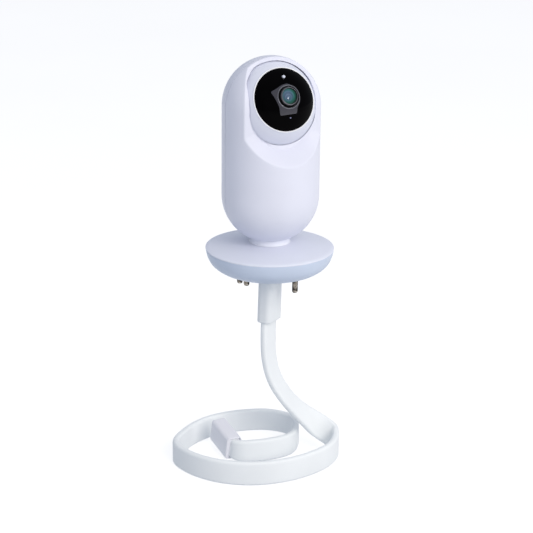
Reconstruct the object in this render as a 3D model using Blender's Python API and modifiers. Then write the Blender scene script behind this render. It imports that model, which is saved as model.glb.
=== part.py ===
"""Baby monitor camera: a capsule body on a dished base, held up by a coiled flat gooseneck arm."""

from math import acos, asin, cos, degrees, hypot, pi, radians, sin, sqrt

import bmesh
import bpy
from mathutils import Matrix, Vector

MM = 0.001
MERGE = 0.00001

# Whole object (mm)
PAN_X, PAN_Y = 9.42, -3.57
ARM_TURN = radians(-25.0)
GAP = 0.3

# Body capsule
BODY_R = 35.0
WALL = 1.8
LOW_CENTRE_Z = 205.5
HEAD_Z = 270.45
BODY_BOTTOM_Z = 174.6
FLOOR_TOP_Z = 177.0
PARTING_Y = 0.7
PLATE_T = 2.0

# Lens opening: its half width, the reach of its top, and the room around the ball
SLOT_HALF_W = 25.3
SLOT_TOP_R = 32.2
ROOM_R = 32.1
# Its surround: flat in front, arched back above to a step, and a lip that runs out to the body below
FACE_Y = 19.3
FACE_ARC_R = 32.8
FACE_TOP_Y = 2.6
LIP_SIDE_R, LIP_FRONT_R = 31.2, 37.2

# Head
HEAD_R = 31.7
HEAD_HALF_W = 24.9
TILT_REST = radians(21.6)
WINDOW_R = 22.2
LENS_R = 8.4

# Base
RIM_Z = 165.0
BOWL_Z = 147.0
RIM_R = 46.0
BOWL_FLAT_R = 26.0
NECK_R = 14.2
STUD_R = 2.15
STUD_TIP_Z = 135.7
STUDS = ((18.5, -14.6), (-21.6, 5.2), (-16.6, -0.2))

# Drives
MODULE = 1.0
SUN_TEETH, TILT_TEETH, PINION_TEETH = 18, 20, 8

# Gooseneck arm: flat strip, thickness and the rounding of its edges
ARM_T = 5.0
COLLAR_W, COLLAR_T = 20.0, 11.6
COLLAR_LOW_Z, COLLAR_TOP_Z = 109.5, 146.6
COLLAR_FACE = (0.87, -0.49, 0.0)
CAP_MOUTH = Vector((-25.5, -7.3, 9.6))
CAP_END = Vector((-38.3, 16.4, 15.4))
CAP_W, CAP_T, CAP_WALL = 18.6, 12.2, 1.1
# Centre of the strip, the way its broad face looks, and its width
STATIONS = (
    (0.25, 0.0, 121.0, 0.87, -0.49, 0.0, 17.0),
    (-0.4, 0.0, 97.0, 0.87, -0.49, 0.0, 17.0),
    (0.4, 0.0, 80.0, 0.875, -0.46, 0.1, 17.0),
    (4.6, 1.5, 63.0, 0.84, -0.42, 0.33, 17.0),
    (13.2, 4.0, 47.5, 0.67, -0.4, 0.62, 17.2),
    (24.9, 8.0, 33.0, 0.46, -0.5, 0.72, 17.8),
    (37.2, 11.5, 21.6, -0.05, -0.78, 0.6, 18.2),
    (47.4, 9.0, 14.6, -0.55, -0.8, 0.22, 18.2),
    (51.0, -1.0, 11.8, -1.0, -0.1, 0.0, 18.0),
    (46.2, -16.8, 10.4, -0.85, 0.45, 0.0, 18.0),
    (33.6, -30.8, 9.6, -0.62, 0.78, 0.0, 18.2),
    (15.0, -43.2, 9.3, -0.4, 0.92, 0.0, 18.3),
    (-8.5, -50.2, 9.2, 0.0, 1.0, 0.0, 18.3),
    (-33.0, -47.4, 9.2, 0.35, 0.94, 0.0, 18.2),
    (-55.0, -33.8, 9.1, 0.75, 0.66, 0.0, 18.0),
    (-68.3, -13.5, 9.0, 1.0, 0.1, 0.0, 17.8),
    (-62.5, 10.2, 8.9, 0.85, -0.55, 0.0, 17.6),
    (-46.0, 34.0, 8.8, 0.55, -0.83, 0.0, 17.5),
    (-22.0, 47.0, 8.8, 0.3, -0.95, 0.0, 17.4),
    (2.0, 49.3, 8.8, -0.1, -1.0, 0.0, 17.4),
    (17.6, 40.3, 8.8, -0.75, -0.65, 0.0, 17.4),
    (21.4, 22.5, 8.8, -1.0, 0.0, 0.0, 17.4),
    (17.0, 4.6, 8.8, -0.6, 0.8, 0.0, 17.4),
    (3.0, -5.4, 8.8, -0.15, 1.0, 0.0, 17.4),
    (-10.5, -9.6, 8.8, 0.1, 1.0, 0.0, 17.3),
    (-19.0, -10.6, 8.9, 0.2, 0.97, 0.0, 17.0),
    (-24.6, -8.4, 9.3, 0.72, 0.68, 0.0, 15.9),
    (-28.2, -2.4, 10.9, 0.88, 0.475, 0.0, 15.6),
    (-31.3, 3.3, 12.2, 0.88, 0.475, 0.0, 15.6),
    (-35.3, 10.8, 14.0, 0.88, 0.475, 0.0, 15.6),
)

for old in list(bpy.data.objects):
    bpy.data.objects.remove(old, do_unlink=True)

scene = bpy.context.scene
scene.unit_settings.system = "METRIC"
parts = bpy.data.collections.new("baby_monitor_camera")
cutters = bpy.data.collections.new("cutters")
for collection in (parts, cutters):
    scene.collection.children.link(collection)


def material(name, colour, metallic, roughness):
    made = bpy.data.materials.new(name)
    made.use_nodes = True
    shader = made.node_tree.nodes["Principled BSDF"]
    shader.inputs["Base Color"].default_value = (*colour, 1.0)
    shader.inputs["Metallic"].default_value = metallic
    shader.inputs["Roughness"].default_value = roughness
    made.diffuse_color = (*colour, 1.0)
    return made


SHELL = material("shell_plastic", (0.80, 0.82, 0.90), 0.0, 0.35)
BOWL = material("bowl_plastic", (0.50, 0.57, 0.72), 0.0, 0.4)
SILICONE = material("arm_silicone", (0.80, 0.84, 0.88), 0.0, 0.5)
TRIM = material("trim_plastic", (0.72, 0.73, 0.80), 0.0, 0.4)
BLACK = material("window_black", (0.01, 0.01, 0.012), 0.0, 0.08)
GREY = material("bracket_grey", (0.08, 0.08, 0.10), 0.0, 0.5)
STEEL = material("stud_steel", (0.45, 0.42, 0.40), 1.0, 0.3)
INNER = material("inner_plastic", (0.55, 0.56, 0.60), 0.0, 0.5)
BOARD = material("board_green", (0.03, 0.20, 0.08), 0.0, 0.5)
CHIP = material("chip_black", (0.03, 0.03, 0.03), 0.0, 0.5)
GEAR = material("gear_nylon", (0.85, 0.84, 0.78), 0.0, 0.5)
GLASS = material("lens_glass", (0.05, 0.16, 0.18), 0.0, 0.03)
LAMP = material("lamp_white", (0.85, 0.87, 0.92), 0.0, 0.3)


def empty(name, location, parent=None):
    made = bpy.data.objects.new(name, None)
    parts.objects.link(made)
    made.location = Vector(location) * MM
    made.parent = parent
    return made


pan_axis = empty("pan_axis", (PAN_X, PAN_Y, 0.0))
base_frame = empty("base_frame", (PAN_X, PAN_Y, 0.0))
arm_frame = empty("arm_frame", (PAN_X, PAN_Y, 0.0))
arm_frame.rotation_euler = (0.0, 0.0, ARM_TURN)
tilt_axis = empty("tilt_axis", (0.0, 0.0, HEAD_Z), pan_axis)
tilt_axis.rotation_euler = (-TILT_REST, 0.0, 0.0)


ALONG = {"Z": (0.0, 0.0, 0.0), "X": (0.0, pi / 2, 0.0), "-Y": (pi / 2, 0.0, 0.0)}


def place(name, mesh, colour, parent, at=(0.0, 0.0, 0.0), along="Z"):
    """A part, or a hidden cutter where colour is None; along is an axis or a rotation."""
    made = bpy.data.objects.new(name, mesh)
    made.location = Vector(at) * MM
    made.rotation_euler = ALONG[along] if isinstance(along, str) else along
    made.parent = parent
    if colour is None:
        cutters.objects.link(made)
        made.hide_render = True
        made.display_type = "WIRE"
    else:
        parts.objects.link(made)
        mesh.materials.append(colour)
    return made


def mesh_of(bm, name):
    """A mesh in metres from a bmesh in millimetres, shaded smooth across its gentle edges."""
    bmesh.ops.recalc_face_normals(bm, faces=bm.faces)
    bmesh.ops.scale(bm, vec=(MM, MM, MM), verts=bm.verts)
    mesh = bpy.data.meshes.new(name)
    bm.to_mesh(mesh)
    bm.free()
    mesh.shade_smooth()
    mesh.set_sharp_from_angle(angle=radians(35.0))
    return mesh


def box(name, low, high, colour, parent):
    low, high = Vector(low), Vector(high)
    bm = bmesh.new()
    bmesh.ops.create_cube(bm, size=1.0)
    bmesh.ops.scale(bm, vec=high - low, verts=bm.verts)
    return place(name, mesh_of(bm, name), colour, parent, (low + high) / 2)


def rod(name, r, h0, h1, colour, parent, at=(0.0, 0.0, 0.0), along="Z", steps=24):
    bm = bmesh.new()
    bmesh.ops.create_cone(bm, cap_ends=True, segments=steps, radius1=r, radius2=r, depth=h1 - h0)
    bmesh.ops.translate(bm, vec=(0.0, 0.0, (h0 + h1) / 2), verts=bm.verts)
    return place(name, mesh_of(bm, name), colour, parent, at, along)


def turned(name, profile, colour, parent, steps=40, at=(0.0, 0.0, 0.0), along="Z"):
    """(radius, height) points turned about an axis. A profile that starts on the axis ends there too."""
    closed = profile[0][0] > 0
    area = sum(a[0] * b[1] - b[0] * a[1] for a, b in zip(profile, profile[1:] + profile[:1]))
    points = profile if area < 0 else profile[::-1]
    count = len(points)
    mesh = bpy.data.meshes.new(name)
    edges = [(k, (k + 1) % count) for k in range(count if closed else count - 1)]
    mesh.from_pydata([(r * MM, 0.0, h * MM) for r, h in points], edges, [])
    made = place(name, mesh, colour, parent, at, along)
    turn = made.modifiers.new("turn", "SCREW")
    turn.axis = "Z"
    turn.steps = turn.render_steps = steps
    turn.use_merge_vertices = True
    turn.merge_threshold = MERGE
    turn.use_smooth_shade = True
    return made


def extruded(name, outlines, h0, h1, colour, parent, at=(0.0, 0.0, 0.0), along="Z"):
    """A flat outline with its holes, given a thickness."""
    curve = bpy.data.curves.new(name, "CURVE")
    curve.dimensions = "2D"
    curve.fill_mode = "BOTH"
    curve.extrude = (h1 - h0) / 2 * MM
    for outline in outlines:
        spline = curve.splines.new("POLY")
        spline.points.add(len(outline) - 1)
        spline.use_cyclic_u = True
        for point, (a, b) in zip(spline.points, outline):
            point.co = (a * MM, b * MM, 0.0, 1.0)
    guide = bpy.data.objects.new(name + "_outline", curve)
    scene.collection.objects.link(guide)
    graph = bpy.context.evaluated_depsgraph_get()
    mesh = bpy.data.meshes.new_from_object(guide.evaluated_get(graph))
    bpy.data.objects.remove(guide, do_unlink=True)
    bm = bmesh.new()
    bm.from_mesh(mesh)
    bmesh.ops.remove_doubles(bm, verts=bm.verts, dist=MERGE)
    bmesh.ops.translate(bm, vec=(0.0, 0.0, (h0 + h1) / 2 * MM), verts=bm.verts)
    bmesh.ops.recalc_face_normals(bm, faces=bm.faces)
    bm.to_mesh(mesh)
    bm.free()
    return place(name, mesh, colour, parent, at, along)


def loft(name, rings, colour, parent):
    """A closed body through rings of points that all differ, capped at both ends."""
    bm = bmesh.new()
    made = [[bm.verts.new(p) for p in ring] for ring in rings]
    for one, two in zip(made, made[1:]):
        for i in range(len(one)):
            j = (i + 1) % len(one)
            bm.faces.new((one[i], one[j], two[j], two[i]))
    bm.faces.new(made[0][::-1])
    bm.faces.new(made[-1])
    return place(name, mesh_of(bm, name), colour, parent)


def round_ends(target, width, segments=2):
    """Rounds the edges that turn by a right angle or so."""
    made = target.modifiers.new("round", "BEVEL")
    made.width = width * MM
    made.segments = segments
    made.limit_method = "ANGLE"
    made.angle_limit = radians(70.0)


def boolean(target, cutter, operation="DIFFERENCE"):
    made = target.modifiers.new(cutter.name, "BOOLEAN")
    made.operation = operation
    made.object = cutter
    made.solver = "EXACT"


def arc(cx, cz, r, start, end, count):
    """(radius, height) points round a centre, from one angle above the level to another."""
    turns = [radians(start + (end - start) * k / count) for k in range(count + 1)]
    return [(max(0.0, cx + r * cos(a)), cz + r * sin(a)) for a in turns]


def capsule_profile(r, floor_z):
    """Flat floor, the bottom of one ball, straight side, and the top of another."""
    low = -degrees(asin((LOW_CENTRE_Z - floor_z) / r))
    points = [(0.0, floor_z)]
    points += arc(0.0, LOW_CENTRE_Z, r, low, 0.0, 8)
    points += arc(0.0, HEAD_Z, r, 0.0, 90.0, 11)
    points[-1] = (0.0, HEAD_Z + r)
    return points


def face_forward(x, h):
    """How far forward the lens opening's surround stands at a point of the front view from the ball's centre."""
    if h >= 0.0:
        arched = FACE_Y - FACE_ARC_R + sqrt(max(0.0, FACE_ARC_R**2 - h * h))
        return (arched + FACE_TOP_Y + sqrt((arched - FACE_TOP_Y) ** 2 + 5.0)) / 2
    reach = hypot(x, h)
    end_r = LIP_SIDE_R + (LIP_FRONT_R - LIP_SIDE_R) * -h / reach
    body_y = sqrt(max(0.0, BODY_R**2 - (end_r * x / reach) ** 2))
    share = max(0.0, (reach - SLOT_HALF_W) / (end_r - SLOT_HALF_W))
    return FACE_Y + max(0.0, body_y - FACE_Y) * share


def face_block(name, shift):
    """Everything in front of the lens opening's surround, as rings spreading from the opening's middle."""
    rings = []
    turns = [2 * pi * k / 48 for k in range(48)]
    for reach in (8.0, 20.0, SLOT_HALF_W, 28.0, 30.0, 32.0, 33.5, 35.0, 37.5, 42.0, 60.0):
        spots = [(reach * cos(a), reach * sin(a)) for a in turns]
        rings.append([(x, -face_forward(x, h) - shift, HEAD_Z + h) for x, h in spots])
    rings.append([(60.0 * cos(a), -90.0, HEAD_Z + 60.0 * sin(a)) for a in turns])
    return loft(name, rings, None, pan_axis)


def slot_outline():
    """The lens opening: round at the bottom, straight sides, round at the top."""
    points = [(SLOT_HALF_W * cos(a), SLOT_HALF_W * sin(a)) for a in (radians(180 + 10 * k) for k in range(19))]
    start = acos(SLOT_HALF_W / SLOT_TOP_R)
    turns = [start + (pi - 2 * start) * k / 14 for k in range(15)]
    return points + [(SLOT_TOP_R * cos(a), SLOT_TOP_R * sin(a)) for a in turns]


def toothed(teeth, add, phase):
    """Outline of a spur gear of the given tooth count, with straight-flanked teeth."""
    pitch_r = MODULE * teeth / 2
    step = 2 * pi / teeth
    points = []
    for k in range(teeth):
        for part, r in ((-0.30, -0.95), (-0.19, 0.0), (-0.10, 0.72), (0.10, 0.72), (0.19, 0.0), (0.30, -0.95)):
            a = phase + (k + part) * step
            radius = pitch_r + (r + add) * MODULE
            points.append((radius * cos(a), radius * sin(a)))
    return points


def circle(r, steps=24):
    return [(r * cos(2 * pi * k / steps), r * sin(2 * pi * k / steps)) for k in range(steps)]


def gear(name, teeth, bore, h0, h1, phase, parent, at=(0.0, 0.0, 0.0), along="Z"):
    return extruded(name, [toothed(teeth, -0.08, phase), circle(bore)], h0, h1, GEAR, parent, at, along)


def rounded(half_a, half_b, r, corner=2):
    """Points round a rectangle with rounded corners."""
    points = []
    for k, (sa, sb) in enumerate(((1, 1), (-1, 1), (-1, -1), (1, -1))):
        for c in range(corner + 1):
            a = pi / 2 * (k + c / corner)
            points.append((sa * (half_a - r) + r * cos(a), sb * (half_b - r) + r * sin(a)))
    return points


def along_stations(rows, steps):
    """A smooth path through the stations, with everything each row holds."""
    count = len(rows)
    at = [0.0]
    for one, two in zip(rows, rows[1:]):
        at.append(at[-1] + (Vector(two[:3]) - Vector(one[:3])).length)
    slopes = []
    for i in range(count):
        a, b = max(i - 1, 0), min(i + 1, count - 1)
        if a == i or b == i:
            slopes.append([(rows[b][c] - rows[a][c]) / (at[b] - at[a]) for c in range(7)])
            continue
        h0, h1 = at[i] - at[a], at[b] - at[i]
        before = [(rows[i][c] - rows[a][c]) / h0 for c in range(7)]
        after = [(rows[b][c] - rows[i][c]) / h1 for c in range(7)]
        slopes.append([(before[c] * h1 + after[c] * h0) / (h0 + h1) for c in range(7)])
    path = []
    for i in range(count - 1):
        h = at[i + 1] - at[i]
        for k in range(steps):
            u = k / steps
            w0, w1 = 2 * u**3 - 3 * u**2 + 1, u**3 - 2 * u**2 + u
            w2, w3 = 3 * u**2 - 2 * u**3, u**3 - u**2
            row = []
            for c in range(7):
                ends = w0 * rows[i][c] + w2 * rows[i + 1][c]
                row.append(ends + h * (w1 * slopes[i][c] + w3 * slopes[i + 1][c]))
            path.append(row)
    path.append(list(rows[-1]))
    return path


def strip_rings(path, thick, edge):
    rings = []
    for k, row in enumerate(path):
        here = Vector(row[:3])
        back, on = Vector(path[max(k - 1, 0)][:3]), Vector(path[min(k + 1, len(path) - 1)][:3])
        way = (on - back).normalized()
        face = Vector(row[3:6])
        face = (face - way * face.dot(way)).normalized()
        wide = way.cross(face)
        outline = rounded(row[6] / 2, thick / 2, edge)
        rings.append([here + wide * a + face * b for a, b in outline])
    return rings


# Gooseneck arm
loft("arm_sleeve", strip_rings(along_stations(STATIONS, 3), ARM_T, 2.0), SILICONE, arm_frame)


def sleeve(name, start, end, face, half_a, half_b, r, colour):
    """A straight length of rounded-rectangle section from start to end, its broad side facing one way."""
    way = (end - start).normalized()
    face = (face - way * face.dot(way)).normalized()
    turn = Matrix((way.cross(face), face, -way)).transposed().to_euler()
    outline = rounded(half_a, half_b, r)
    return extruded(name, [outline], -(end - start).length, 0.0, colour, arm_frame, start, turn)


face = Vector(COLLAR_FACE).normalized()
low, high = Vector((0.0, 0.0, COLLAR_LOW_Z)), Vector((0.9, 0.0, COLLAR_TOP_Z))
collar = sleeve("arm_collar", high, low, face, COLLAR_W / 2, COLLAR_T / 2, 4.0, TRIM)
round_ends(collar, 0.8)
mouth = Vector((0.3, 0.0, 123.0)), Vector((-0.15, 0.0, COLLAR_LOW_Z - 2.0))
boolean(collar, sleeve("collar_slot", *mouth, face, 8.9, 3.0, 2.2, None))
boolean(collar, rod("plug_bore", 4.3, 132.0, 150.0, None, arm_frame))
plug = rod("arm_plug", 4.0, 132.4, 156.0, STEEL, arm_frame)
extruded("arm_nut", [circle(7.0, 6), circle(4.2)], 149.4, 153.4, STEEL, base_frame)

way = (CAP_END - CAP_MOUTH).normalized()
side = Vector((-way.y, way.x, 0.0)).normalized()
cap = sleeve("arm_end_cap", CAP_MOUTH, CAP_END, side, CAP_W / 2, CAP_T / 2, 2.6, TRIM)
round_ends(cap, 1.0)
size = (CAP_W / 2 - CAP_WALL, CAP_T / 2 - CAP_WALL)
boolean(cap, sleeve("cap_inside", CAP_MOUTH - way * 2, CAP_END - way * 1.6, side, *size, 1.6, None))

# Base
edge = [(BOWL_FLAT_R, BOWL_Z), (31.6, 148.0), (36.2, 149.7), (40.2, 152.3), (43.1, 155.2)]
edge += [(44.8, 158.4), (45.7, 161.6), (RIM_R, 163.8), (RIM_R + 0.1, RIM_Z)]
inner = [(43.2, RIM_Z), (43.4, 161.6), (42.6, 158.9), (40.8, 156.0), (38.2, 153.3), (34.9, 151.0)]
inner += [(30.9, 149.4), (BOWL_FLAT_R, 149.0), (4.4, 149.0), (4.4, BOWL_Z)]
bowl = turned("base_bowl", edge + inner, BOWL, base_frame, 48)
plate = [(6.0, 168.2), (14.0, 168.2), (40.0, 164.3), (40.6, 160.5), (42.4, 160.5), (42.6, 165.3)]
plate += [(46.4, 165.3), (46.6, 165.8), (45.2, 166.5), (17.0, 170.0), (6.0, 170.0)]
turned("base_top_plate", plate, SHELL, base_frame, 48)
ring = [(9.5, 170.3), (NECK_R + 0.5, 170.3), (NECK_R, 170.9), (NECK_R, 173.8), (NECK_R - 0.4, 174.2), (9.5, 174.2)]
turned("neck_ring", ring, SHELL, base_frame, 36)
for number, (x, y) in enumerate(STUDS, 1):
    turn = Matrix.Rotation(ARM_TURN, 3, "Z") @ Vector((x, y, 0.0))
    head = [(0, STUD_TIP_Z), (1.3, STUD_TIP_Z + 0.3), (STUD_R, STUD_TIP_Z + 1.2), (STUD_R, 149.3)]
    head += [(3.4, 149.3), (3.4, 150.8), (0, 150.8)]
    turned(f"base_stud_{number}", head, STEEL, base_frame, 20, turn)
    boolean(bowl, rod(f"stud_hole_{number}", STUD_R + 0.2, 140.0, 155.0, None, base_frame, turn))

# Pan drive: a post and a sun gear stay with the base
post = [(3.0, 166.2), (10.0, 166.2), (10.0, 167.9), (5.6, 167.9), (5.6, 177.6), (4.0, 177.6), (4.0, 183.8)]
turned("pan_post", post + [(3.0, 183.8)], INNER, base_frame, 32)
gear("pan_sun_gear", SUN_TEETH, 4.3, 178.2, 182.2, 0.0, base_frame)
pan_reach = MODULE * (SUN_TEETH + PINION_TEETH) / 2
pan_spin = empty("pan_pinion_axis", (0.0, -pan_reach, 0.0), pan_axis)
gear("pan_pinion", PINION_TEETH, 1.3, 178.2, 182.2, pi / 2, pan_spin)
motor = rod("pan_motor", 6.0, 187.2, 198.0, STEEL, pan_axis, (0.0, -pan_reach, 0.0))
shaft = rod("pan_shaft", 1.0, 177.8, 188.0, None, pan_axis, (0.0, -pan_reach, 0.0), steps=12)
boolean(motor, shaft, "UNION")

# Body shells
hollow = turned("body_hollow", capsule_profile(BODY_R - WALL, FLOOR_TOP_Z), None, pan_axis, 40)
boolean(hollow, face_block("hollow_face", -PLATE_T))
slot = extruded("lens_slot", [slot_outline()], 1.0, 60.0, None, pan_axis, (0.0, 0.0, HEAD_Z), "-Y")
room = [(0, HEAD_Z - ROOM_R)] + arc(0.0, HEAD_Z, ROOM_R, -80.0, 80.0, 18) + [(0, HEAD_Z + ROOM_R)]
head_room = turned("head_room", room, None, pan_axis, 48)
outer_face = face_block("outer_face", 0.0)
post_hole = rod("post_hole", 6.2, 170.0, 180.0, None, pan_axis)
halves = {"body_front_shell": (-60.0, PARTING_Y - GAP / 2), "body_rear_shell": (PARTING_Y + GAP / 2, 60.0)}
shells = {}
for name, (y0, y1) in halves.items():
    shell = turned(name, capsule_profile(BODY_R, BODY_BOTTOM_Z), SHELL, pan_axis, 40)
    half = box(name + "_half", (-60, y0, 150), (60, y1, 330), None, pan_axis)
    boolean(shell, half, "INTERSECT")
    if name == "body_front_shell":
        boolean(shell, outer_face)
        boolean(shell, slot)
    boolean(shell, hollow)
    boolean(shell, head_room)
    boolean(shell, post_hole)
    shells[name] = shell

rear = shells["body_rear_shell"]
boolean(rear, box("inlet_hole", (-5.2, 20, 186.6), (5.2, 50, 191.4), None, pan_axis))
boolean(rear, rod("button_hole", 3.3, -50, -20, None, pan_axis, (0, 0, 200.0), "-Y"))
boolean(rear, rod("mic_hole", 0.7, -50, -20, None, pan_axis, (9.0, 0, 204.0), "-Y", 12))
for k in range(5):
    x = (k - 2) * 4.5
    tall = 6.0 - abs(k - 2)
    grille = box(f"grille_{k}", (x - 0.8, 20, 216 - tall), (x + 0.8, 50, 216 + tall), None, pan_axis)
    boolean(rear, grille)

# Inside the body
chassis = rod("chassis", 19.0, 184.8, 186.6, INNER, pan_axis, steps=40)
boolean(chassis, rod("shaft_hole", 1.6, 180, 190, None, pan_axis, (0.0, -pan_reach, 0.0), steps=18))
boolean(chassis, box("yoke_bar", (-28.4, -5.4, 200), (28.4, 5.4, 202), None, pan_axis), "UNION")
for side, sign in (("left", -1), ("right", 1)):
    low, high = sorted((sign * 14.0, sign * 17.0))
    boolean(chassis, box("pillar_" + side, (low, -3, 185.6), (high, 3, 201.2), None, pan_axis), "UNION")
    low, high = sorted((sign * 27.0, sign * 29.0))
    leg = box("leg_" + side, (low, -6, 200.8), (high, 6, 277.4), None, pan_axis)
    boolean(chassis, leg, "UNION")
    pin_hole = rod("pin_hole_" + side, 3.2, low - 2, high + 2, None, pan_axis, (0, 0, HEAD_Z), "X")
    boolean(chassis, pin_hole)
box("main_board", (-20, 9, 204), (20, 10.6, 238), BOARD, pan_axis)
box("board_chip", (-6, 10.9, 214), (6, 12.3, 226), CHIP, pan_axis)
turned(
    "speaker",
    [(0, -26.4), (4.0, -26.4), (8.2, -27.2), (9.5, -27.2), (9.5, -24.8), (7.0, -23.5), (7.0, -19.0), (0, -19.0)],
    CHIP,
    pan_axis,
    32,
    (0, 0, 216.0),
    "-Y",
)
rod("microphone", 2.0, -30.2, -27.6, STEEL, pan_axis, (9.0, 0, 204.0), "-Y", 16)
socket = box("power_socket", (-4.8, 18, 187), (4.8, 29.2, 191), STEEL, pan_axis)
boolean(socket, box("socket_mouth", (-4.0, 22, 187.7), (4.0, 40, 190.3), None, pan_axis))
button = [(0, -34.9), (2.4, -34.9), (3.0, -34.4), (3.0, -30.6), (4.2, -30.6), (4.2, -29.4), (0, -29.4)]
turned("pair_button", button, TRIM, pan_axis, 32, (0, 0, 200.0), "-Y")
at = (0.0, 0.0, HEAD_Z)
gear("tilt_fixed_gear", TILT_TEETH, 3.4, -26.7, -25.2, pi / TILT_TEETH, pan_axis, at, "X")


# Head
def head_ball(name, r, half_w, y0, y1, colour):
    profile = [(0, -r)] + arc(0.0, 0.0, r, -80.0, 80.0, 16) + [(0, r)]
    made = turned(name, profile, colour, tilt_axis, 36)
    boolean(made, box(name + "_width", (-half_w, y0, -60), (half_w, y1, 60), None, tilt_axis), "INTERSECT")
    return made


head_hollow = head_ball("head_hollow", HEAD_R - WALL, HEAD_HALF_W - 1.6, -60, 60, None)
behind = Vector((0.0, cos(TILT_REST), sin(TILT_REST)))
reach = behind * MODULE * (TILT_TEETH + PINION_TEETH) / 2
axle_holes = rod("axle_holes", 3.2, -40, 40, None, tilt_axis, along="X")
front = head_ball("head_front_shell", HEAD_R, HEAD_HALF_W, -60, -GAP / 2, SHELL)
back = head_ball("head_rear_shell", HEAD_R, HEAD_HALF_W, GAP / 2, 60, SHELL)
for shell in (front, back):
    boolean(shell, head_hollow)
    boolean(shell, axle_holes)
boolean(front, rod("window_hole", WINDOW_R, 5, 60, None, tilt_axis, along="-Y", steps=48))
boolean(back, rod("drive_hole", 1.6, -40, -10, None, tilt_axis, reach, "X"))


def cap_arc(r, inner, outer, count):
    first, last = asin(inner / r), asin(outer / r)
    turns = [first + (last - first) * k / count for k in range(count + 1)]
    return [(r * sin(a), r * cos(a)) for a in turns]


hole_r = LENS_R + 0.3
window_outline = cap_arc(HEAD_R, hole_r, WINDOW_R - 0.3, 5)
window_outline += cap_arc(HEAD_R - 1.7, hole_r, WINDOW_R - 0.3, 5)[::-1]
window = turned("dome_window", window_outline, BLACK, tilt_axis, 40, along="-Y")
boolean(window, rod("lamp_hole", 1.75, 10, 40, None, tilt_axis, (0, 0, 15.6), "-Y"))
boolean(window, rod("sensor_hole", 1.0, 10, 40, None, tilt_axis, (0, 0, -14.6), "-Y", 16))
lamp = [(0, 22.0), (1.5, 22.0), (1.5, 27.2), (0.9, 27.7), (0, 27.8)]
turned("status_lamp", lamp, LAMP, tilt_axis, 20, (0, 0, 15.6), "-Y")
rod("light_sensor", 0.75, 24.0, 28.0, LAMP, tilt_axis, (0, 0, -14.6), "-Y", 16)

outline = [(-12.3, 5.2), (-9.2, 0.4), (-8.0, -6.8), (-7.5, -13.1), (5.0, -12.4), (5.2, -8.0), (9.4, -1.5)]
outline += [(9.6, 4.0), (5.6, 9.3), (1.4, 10.5), (-3.4, 9.7), (-7.6, 7.2)]
bracket = turned(
    "lens_bracket",
    cap_arc(29.6, 7.9, 18.0, 6) + cap_arc(28.8, 7.9, 18.0, 6)[::-1],
    GREY,
    tilt_axis,
    40,
    along="-Y",
)
prism = extruded("bracket_outline", [outline], 10.0, 40.0, None, tilt_axis, along="-Y")
boolean(bracket, prism, "INTERSECT")
barrel = [(5.9, 14.0), (7.6, 14.0), (7.6, 28.9), (LENS_R, 28.9), (LENS_R, 30.3), (8.1, 30.6), (7.6, 30.5)]
barrel += [(7.3, 29.7), (6.7, 29.7), (6.5, 30.3), (5.9, 30.4)]
turned("lens_barrel", barrel, GREY, tilt_axis, 32, along="-Y")
glass = [(0, 28.2), (5.6, 28.2), (5.6, 29.4), (4.2, 30.2), (2.2, 30.7), (0, 30.9)]
turned("lens_glass", glass, GLASS, tilt_axis, 32, along="-Y")
box("sensor_board", (-11, -12.6, -11), (11, -11.0, 11), BOARD, tilt_axis)
box("image_sensor", (-4, -13.7, -4), (4, -12.9, 4), CHIP, tilt_axis)
for side, sign in (("left", -1), ("right", 1)):
    flange = [(0, sign * 21.4), (5.0, sign * 21.4), (5.0, sign * 23.0), (2.9, sign * 23.0), (2.9, sign * 29.4)]
    turned("tilt_axle_" + side, flange + [(0, sign * 29.4)], STEEL, tilt_axis, 24, along="X")
motor = rod("tilt_motor", 5.0, -21.6, -8.0, STEEL, tilt_axis, reach, "X")
boolean(motor, rod("tilt_shaft", 1.0, -26.5, -21.0, None, tilt_axis, reach, "X", 12), "UNION")
tilt_spin = empty("tilt_pinion_axis", (0.0, reach.length, HEAD_Z), pan_axis)
gear("tilt_pinion", PINION_TEETH, 1.3, -26.7, -25.2, 0.0, tilt_spin, along="X")
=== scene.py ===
from math import asin, cos, degrees, hypot, pi, radians, sin, sqrt

import bmesh
import bpy
from mathutils import Matrix, Vector


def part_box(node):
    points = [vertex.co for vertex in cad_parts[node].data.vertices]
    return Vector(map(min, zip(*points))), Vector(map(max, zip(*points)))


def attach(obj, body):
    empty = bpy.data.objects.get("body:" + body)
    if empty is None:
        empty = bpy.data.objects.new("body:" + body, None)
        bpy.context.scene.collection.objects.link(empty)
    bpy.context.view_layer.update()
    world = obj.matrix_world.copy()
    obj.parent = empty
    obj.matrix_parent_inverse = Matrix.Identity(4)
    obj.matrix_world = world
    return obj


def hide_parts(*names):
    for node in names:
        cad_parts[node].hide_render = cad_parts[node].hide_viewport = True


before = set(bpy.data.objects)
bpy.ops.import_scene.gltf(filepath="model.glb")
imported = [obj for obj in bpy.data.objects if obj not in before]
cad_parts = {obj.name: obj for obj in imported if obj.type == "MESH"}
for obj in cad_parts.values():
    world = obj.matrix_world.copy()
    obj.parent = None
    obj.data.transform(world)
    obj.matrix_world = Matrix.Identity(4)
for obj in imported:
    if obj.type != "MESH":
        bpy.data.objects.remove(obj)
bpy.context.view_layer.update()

MM = 0.001

# Driving sizes, in mm. The body is an upright capsule: its lower and upper centres are LOW_Z and HEAD_Z.
BODY_R, WALL = 35.0, 1.8
LOW_Z, HEAD_Z = 205.5, 270.45
BOTTOM_Z = 174.6
# The shells part just behind the centre, and each keeps at least SEAM clear of that line
PARTING, SEAM = 0.7, 0.12
# The leaning surround cut into the front shell, and the lip below it
FACE_Y, FACE_ARC_R, FACE_TOP_Y = 19.3, 32.8, 2.6
LIP_SIDE_R, LIP_FRONT_R = 31.2, 37.2
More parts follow.
